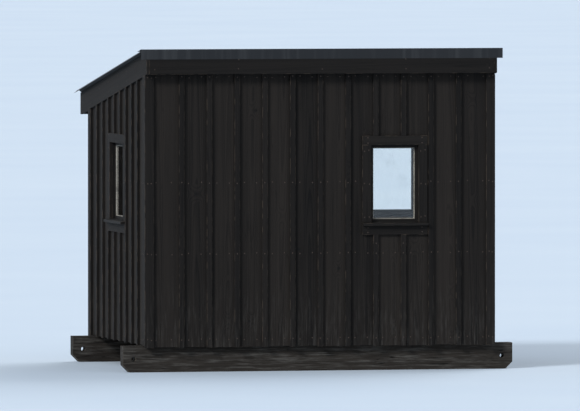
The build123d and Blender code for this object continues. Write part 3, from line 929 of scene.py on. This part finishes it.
def steel_finish(name):
    """Matt paint on steel that slopes down along Y."""
    f = Finish(name)
    place = f.place()
    x, y, z = f.split(place)
    run_off = f.noise(f.join(x * 26, y * 1.3, z * 1.3), detail=4).rise(0.42, 0.78)
    cloud = f.noise(place, scale=2.2, detail=3)
    scuff = f.noise(f.join(x * 60, y * 9, z * 9), detail=6, roughness=0.8).rise(0.66, 0.74)
    tint = f.mix(run_off * 0.45 + (cloud - 0.5) * 0.4, roof_grey, roof_dust)
    pans = f.noise(f.join(x * 3.5, y * 1.7, z * 1.7), detail=1)
    fine = f.noise(place, scale=900.0, detail=1)
    return f.surface(
        base_color=f.mix(scuff * 0.35, tint, roof_scuff),
        roughness=matt + run_off * 0.18 + scuff * 0.1,
        specular_ior_level=0.16,
        normal=f.bump(pans + fine * 0.015, 0.004, 0.35),
    )


roof_paint = steel_finish("painted_steel")
for node in ("roof_sheets", "roof_flashing"):
    coat(nodes[node], roof_paint)
print("roof painted")

# %% [markdown]
# ## Nails
# Boards are nailed through to the rim, to the short pieces between the studs and to the plate, two nails to
# a board and one to a batten. A nail head is a shallow dome a little wider than its shank, driven until it
# sits in the wood. One head is modelled from a disc whose top face is inset, lifted and drawn to a point.
# Copies with their own meshes go to each place, so that the heads cast real shadows and catch the light one
# by one, which a bump pattern can't.

# %% A domed head
dome_inset, dome_rise = 0.35, 0.5
nail_radius, nail_height = 0.0045, 0.0012


def disc(radius, height, sides, foot=0.0):
    """An upright disc or prism over the origin."""
    bpy.ops.mesh.primitive_cylinder_add(
        vertices=sides,
        radius=radius,
        depth=height,
        location=(0, 0, foot + height / 2),
    )
    bpy.ops.object.transform_apply(location=True, rotation=True, scale=True)
    return bpy.context.object


def domed_head(radius, height, name, sides=10):
    """A domed head that faces up, with its flat underside at 0."""
    head = disc(radius, height, sides)
    head.name = name
    select_faces(head, lambda face: face.normal.z > square_on)
    bpy.ops.mesh.inset(thickness=radius * dome_inset)
    bpy.ops.transform.translate(value=(0, 0, height * dome_rise))
    bpy.ops.mesh.poke()
    bpy.ops.object.mode_set(mode="OBJECT")
    return head


nail_model = domed_head(nail_radius, nail_height, "nail_model")
print("nail head faces:", len(nail_model.data.polygons))


# %% Set copies out
def set_out(model, places, name):
    """Copies of a model, each at a place and facing a direction, joined as one piece."""
    copies = []
    for place, facing in places:
        copy = bpy.data.objects.new(name, model.data.copy())
        bpy.context.collection.objects.link(copy)
        turn = Vector(facing).to_track_quat("Z", "Y").to_matrix().to_4x4()
        spin = Matrix.Rotation(chance.uniform(0, math.pi), 4, "Z")
        copy.data.transform(Matrix.Translation(place) @ turn @ spin)
        copies.append(copy)
    only(*copies)
    bpy.ops.object.join()
    piece = bpy.context.object
    piece.name = name
    bpy.data.objects.remove(model)
    return piece


print("setter ready")

# %% Where a nail goes
nail_sink = 0.0004
nail_wander = 0.005


def outer_faces(boxes):
    """Each board's box, the axis that the board faces along and the side of the hut it is on."""
    for low, high in boxes:
        size = high - low
        facing = 0 if size.x < size.y else 1
        side = 1 if (low + high)[facing] > 2 * cabin_middle[facing] else -1
        yield low, high, facing, side


def nail_at(low, high, facing, side, across_at, height, sink=nail_sink):
    """One nail on a board's outer face, not quite where it was meant to go."""
    place = Vector((0, 0, height + chance.uniform(-nail_wander, nail_wander)))
    place[1 - facing] = across_at + chance.uniform(-nail_wander, nail_wander) / 2
    place[facing] = (high if side > 0 else low)[facing] - side * sink
    direction = Vector((0, 0, 0))
    direction[facing] = side
    return place, direction


print("nail rims stand", round((nail_height - nail_sink) * 1000, 1), "mm proud")

# %% Rows of nails on the walls
row_below_plate = 0.06
end_margin = 0.02
lining_reach = 0.03
board_shares, batten_shares, corner_shares = (0.27, 0.73), (0.5,), (0.3, 0.7)
openings = [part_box(node) for node in sashes + ["door_leaf"]]
girt_heights = sorted({round(height, 3) for height in middles_of("wall_girts", 2)})
rim_height = sum(corner.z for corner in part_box("floor_rims")) / 2


def rows_on(boxes, shares):
    """Nails across each upright board, at the heights of the rim, the girts and the plate behind it."""
    places = []
    for low, high, facing, side in outer_faces(boxes):
        width = high[1 - facing] - low[1 - facing]
        for height in [rim_height] + girt_heights + [high.z - row_below_plate]:
            if low.z + end_margin < height < high.z - end_margin:
                places += [nail_at(low, high, facing, side, low[1 - facing] + width * share, height)
                           for share in shares]
    return places


def in_an_opening(place):
    """Whether a place is where a window, a door or its lining is."""
    return any(
        all(low[axis] - lining_reach < place[axis] < high[axis] + lining_reach for axis in range(3))
        for low, high in openings
    )


wall_boards = [box for wall in walls for box in boxes_of(wall.name)]
corner_boards = boxes_of("front_and_rear_corner_boards_timber") + boxes_of("side_corner_boards_timber")
nail_places = [nail for nail in rows_on(wall_boards, board_shares) if not in_an_opening(nail[0])]
nail_places += rows_on(boxes_of("battens_timber"), batten_shares)
nail_places += rows_on(corner_boards, corner_shares)
print("wall nails:", len(nail_places))

# %% [markdown]
# ## Nails in the trim and the door
# Casings are nailed along their length, fascias to the rafters' ends, rakes along the slope and door boards
# to the ledges behind. The heads follow from the pieces' own boxes. The fascias' nails are punched almost
# flush, as a careful builder does where water runs off the roof.

# %% Rows of nails on the trim and the door
casing_nail_spacing = 0.4
casing_nail_inset = 0.04
pair_across = (0.25, 0.75)
flush_sink = 0.0014
rake_nail_spacing = 0.35
ledge_nail_rise = 0.03
slope = math.tan(pitch)


def steps(low, high, spacing):
    """Evenly spaced places from low to high, no further apart than the spacing."""
    count = max(1, math.ceil((high - low) / spacing))
    return [low + (high - low) * i / count for i in range(count + 1)]


for low, high, facing, side in outer_faces(boxes_of("side_casings_timber")):
    width = high[1 - facing] - low[1 - facing]
    for height in steps(low.z + casing_nail_inset, high.z - casing_nail_inset, casing_nail_spacing):
        nail_places += [nail_at(low, high, facing, side, low[1 - facing] + width * share, height)
                        for share in pair_across]
for low, high, facing, side in outer_faces(boxes_of("head_casings_and_aprons_timber")):
    start, end = low[1 - facing] + casing_nail_inset, high[1 - facing] - casing_nail_inset
    nail_places += [nail_at(low, high, facing, side, along, low.z + (high.z - low.z) * share)
                    for along in steps(start, end, casing_nail_spacing) for share in pair_across]
for low, high, facing, side in outer_faces(boxes_of("fascia_boards_timber")):
    nail_places += [nail_at(low, high, facing, side, along, low.z + (high.z - low.z) * share, flush_sink)
                    for along in rafter_places for share in pair_across]
for low, high, facing, side in outer_faces(boxes_of("rake_boards_timber")):
    fall = (high.y - low.y) * slope
    width = high.z - low.z - fall
    for along in steps(low.y + casing_nail_inset, high.y - casing_nail_inset, rake_nail_spacing):
        under = high.z - (along - low.y) * slope - width
        nail_places += [nail_at(low, high, facing, side, along, under + width * share)
                        for share in pair_across]
ledge_heights = middles_of("door_ledges", 2)[::2]
for low, high, facing, side in outer_faces(boxes_of("door_leaf_sawn")):
    width = high.y - low.y
    nail_places += [nail_at(low, high, facing, side, low.y + width * share, height + rise)
                    for height in ledge_heights for share in pair_across
                    for rise in (-ledge_nail_rise, ledge_nail_rise)]
print("nails in all:", len(nail_places))

# %% Fit the nails
nail_grey, nail_rust = colour(42, 39, 37), colour(74, 58, 48)

nail_finish = Finish("dull_nails")
place = nail_finish.place()
stain = nail_finish.noise(place, scale=120.0, detail=3)
nail_finish.surface(
    base_color=nail_finish.mix(stain, nail_grey, nail_rust),
    roughness=0.5 + stain * 0.3,
    metallic=0.4,
)
nails = set_out(nail_model, nail_places, "nails")
fit(nails, nail_finish.material, "ironmongery")
print("nail triangles:", sum(len(face.vertices) - 2 for face in nails.data.polygons))

# %% [markdown]
# ## Roofing screws
# Each sheet is held to the deck by screws, in the flat beside every rib, in rows down the slope. The strip
# along the upper edge is held on the crown of each rib. A screw has a hexagon head on a flange and a domed
# sealing washer. The places are read from the sheets themselves, because a screw beside a rib has to stay
# beside it if the ribs move.

# %% Find the ribs
crown_share = 0.95
least_height = 0.0002
sheets = nodes["roof_sheets"].data
deck_low, deck_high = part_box("roof_deck")
roof_normal = Vector((0, math.sin(pitch), math.cos(pitch)))


def over_deck(point):
    """Height of a point over the roof deck's upper face, square to the slope."""
    return (point - Vector((0, deck_low.y, deck_high.z))).dot(roof_normal)


rib_height = max(over_deck(v.co) for v in sheets.vertices)
on_crowns = [v.co.x for v in sheets.vertices if over_deck(v.co) > rib_height * crown_share]
crown_corners = sorted({round(x, 3) for x in on_crowns})
ribs = [[crown_corners[0]]]
for corner in crown_corners[1:]:
    if corner - ribs[-1][-1] > rib_height * 2:
        ribs.append([])
    ribs[-1].append(corner)
rib_middles = [(corners[0] + corners[-1]) / 2 for corners in ribs]
flat_height = min(over_deck(v.co) for v in sheets.vertices if over_deck(v.co) > least_height)
print("ribs:", len(rib_middles), "height:", round(rib_height * 1000, 1), "mm")
print("sheet:", round(flat_height * 1000, 2), "mm thick")

# %% Roofing screws
screw_rows = 5
row_margin = 0.09
beside_rib = 0.045
strip_screw_set_back = 0.075
washer_sink = 0.0001
washer_radius, washer_height = 0.0075, 0.0016
head_radius, head_height, head_foot = 0.0046, 0.0042, 0.0012
head_rim, head_crown = 0.0008, 0.0004
screw_sides, hexagon = 16, 6


def roofing_screw():
    """Hexagon head on a flange, over a domed washer."""
    washer = domed_head(washer_radius, washer_height, "washer", screw_sides)
    head = disc(head_radius, head_height, hexagon, foot=head_foot)
    select_faces(head, lambda face: face.normal.z > square_on)
    bpy.ops.mesh.inset(thickness=head_rim)
    bpy.ops.mesh.extrude_region_move(TRANSFORM_OT_translate={"value": (0, 0, head_crown)})
    bpy.ops.object.mode_set(mode="OBJECT")
    only(washer, head)
    bpy.ops.object.join()
    return bpy.context.object


def on_roof(x, y, height):
    """A place over the deck, and the way that it faces."""
    base = Vector((x, y, deck_high.z - (y - deck_low.y) * slope))
    return base + roof_normal * (height - washer_sink), roof_normal


row_spacing = (deck_high.y - deck_low.y) / (screw_rows - 1)
run = steps(deck_low.y + row_margin, deck_high.y - row_margin, row_spacing)
strip_row = deck_low.y + strip_screw_set_back
screw_places = [on_roof(rib + beside_rib, y, flat_height) for rib in rib_middles[:-1] for y in run]
screw_places += [on_roof(rib, strip_row, rib_height + flat_height) for rib in rib_middles]
fit(set_out(roofing_screw(), screw_places, "roof_screws"), roof_paint, "roof_steel")
print("roof screws:", len(screw_places))

# %% [markdown]
# ## Hinges and handle
# The strap hinges and the pull are plain iron, painted black and rubbed on the high spots. Their CAD solids
# have the right shapes, so copies only get eased edges. Their screws have domed heads with a slot, cut with
# a Boolean: an inset and an extrusion can't cross the head's pointed top cleanly, and a painted line would
# not hold a shadow.

# %% Black iron
iron_edge = 0.0008
iron_black, iron_rust = colour(24, 24, 25), colour(84, 50, 32)

iron = Finish("black_iron")
place = iron.place()
pits = iron.noise(place, scale=260.0, detail=4)
rust = iron.noise(place, scale=40.0, detail=5).rise(0.58, 0.7)
iron.surface(
    base_color=iron.mix(rust * 0.6, iron_black, iron_rust),
    roughness=0.45 + rust * 0.35,
    metallic=0.6 - rust * 0.6,
    normal=iron.bump(pits, 0.0004, 0.5),
)
for node in ("door_hinges", "door_handle"):
    piece = merged_copy(node, node + "_iron")
    ease(piece, iron_edge)
    fit(piece, iron.material, "ironmongery", node)
    print(piece.name, "faces:", len(piece.data.polygons))

# %% Slotted screws
strap_screws = (0.05, 0.14, 0.23)
plate_screw_inset = 0.022
screw_spread = 0.011
screw_radius, screw_height = 0.0042, 0.0013
slot_length, slot_width, slot_floor = 0.012, 0.0013, 0.0009
plate_reach = 0.001


def slotted_screw():
    """A domed screw head with a slot across it."""
    head = domed_head(screw_radius, screw_height, "slotted_model", screw_sides)
    cutter = block(slot_length, slot_width, slot_floor * 2, foot=slot_floor)
    only(head)
    slot = head.modifiers.new("slot", "BOOLEAN")
    slot.operation = "DIFFERENCE"
    slot.object = cutter
    bpy.ops.object.modifier_apply(modifier=slot.name)
    bpy.data.objects.remove(cutter)
    return head


def plate_face(node):
    """How far out the flat plate at a piece of ironmongery's edge reaches."""
    corners = [v.co for v in nodes[node].data.vertices]
    edge = min(c.y for c in corners)
    return max(c.x for c in corners if c.y < edge + plate_reach)


hinge_face, foot_face = plate_face("door_hinges"), plate_face("door_handle")
iron_screws = []
for low, high in boxes_of("door_hinges_iron"):
    middle = (low.z + high.z) / 2
    iron_screws += [(hinge_face, low.y + along, middle) for along in strap_screws]
    iron_screws += [(hinge_face, high.y - plate_screw_inset, middle + rise)
                    for rise in (-screw_spread, screw_spread)]
handle_low, handle_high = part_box("door_handle")
foot_size = handle_high.y - handle_low.y
for height in (handle_low.z + foot_size / 2, handle_high.z - foot_size / 2):
    iron_screws += [(foot_face, handle_low.y + foot_size / 2 + offset, height + offset)
                    for offset in (-screw_spread, screw_spread)]
out_of_the_door = Vector((1, 0, 0))
iron_screw_places = [(Vector(place), out_of_the_door) for place in iron_screws]
fit(set_out(slotted_screw(), iron_screw_places, "iron_screws"), iron.material, "ironmongery")
print("slotted screws:", len(iron_screws))
